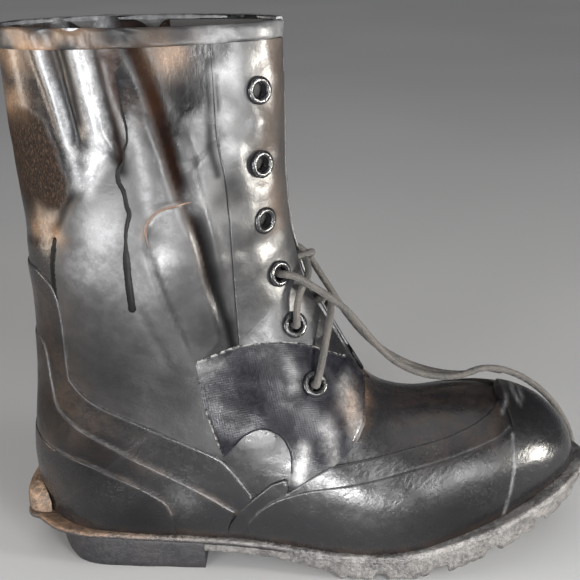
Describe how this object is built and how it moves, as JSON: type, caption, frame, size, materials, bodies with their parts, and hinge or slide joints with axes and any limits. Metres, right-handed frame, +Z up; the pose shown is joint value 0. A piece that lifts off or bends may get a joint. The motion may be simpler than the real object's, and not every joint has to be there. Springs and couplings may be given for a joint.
{
  "type": "insulated rubber field boot",
  "caption": "Tall insulated black rubber boot for the right foot: laced flaps with eyelets over a gusset, layered toe and heel bands, a welt, lugged sole and a ledge behind the heel.",
  "frame": {"origin": "on the floor plane, at the middle of the flat heel tread", "axes": "+X towards the toe, +Z up the shaft, +Y towards the inner side of the foot, which is the wearer's left"},
  "size_m": [0.3409, 0.1609, 0.3022],
  "materials": {
    "black_rubber": "vulcanised black rubber, half gloss with a grey bloom and fine scuffs",
    "rubberised_cloth": "thin rubber over cloth, its weave showing, glossy where rubbed",
    "tread_rubber": "moulded black rubber, dusty brown on its edges",
    "wool_lining": "dark grey felted wool under a thin rubber skin",
    "japanned_metal": "glossy black enamel on pressed brass",
    "braided_lace": "round braided cotton lace, waxed, dark olive grey"
  },
  "bodies": {
    "root": {"upper": "black_rubber", "tongue": "black_rubber", "insole": "wool_lining", "collar_binding": "black_rubber", "welt": "tread_rubber", "outsole": "tread_rubber", "heel": "tread_rubber", "heel_ledge": "tread_rubber", "heel_foxing": "black_rubber", "counter": "black_rubber", "heel_strap": "black_rubber", "toe_cap": "black_rubber", "toe_foxing_outer": "black_rubber", "toe_foxing_inner": "black_rubber", "foxing_band_outer": "black_rubber", "foxing_band_inner": "black_rubber", "eyestay_outer": "black_rubber", "eyestay_inner": "black_rubber", "ankle_patch_outer": "rubberised_cloth", "ankle_patch_inner": "rubberised_cloth", "eyelet_outer_1": "japanned_metal", "eyelet_outer_2": "japanned_metal", "eyelet_outer_3": "japanned_metal", "eyelet_outer_4": "japanned_metal", "eyelet_outer_5": "japanned_metal", "eyelet_outer_6": "japanned_metal", "eyelet_inner_1": "japanned_metal", "eyelet_inner_2": "japanned_metal", "eyelet_inner_3": "japanned_metal", "eyelet_inner_4": "japanned_metal", "eyelet_inner_5": "japanned_metal", "eyelet_inner_6": "japanned_metal", "lace_crossing_1": "braided_lace", "lace_crossing_2": "braided_lace", "lace_end_outer": "braided_lace", "lace_end_inner": "braided_lace"}
  },
  "joints": []
}
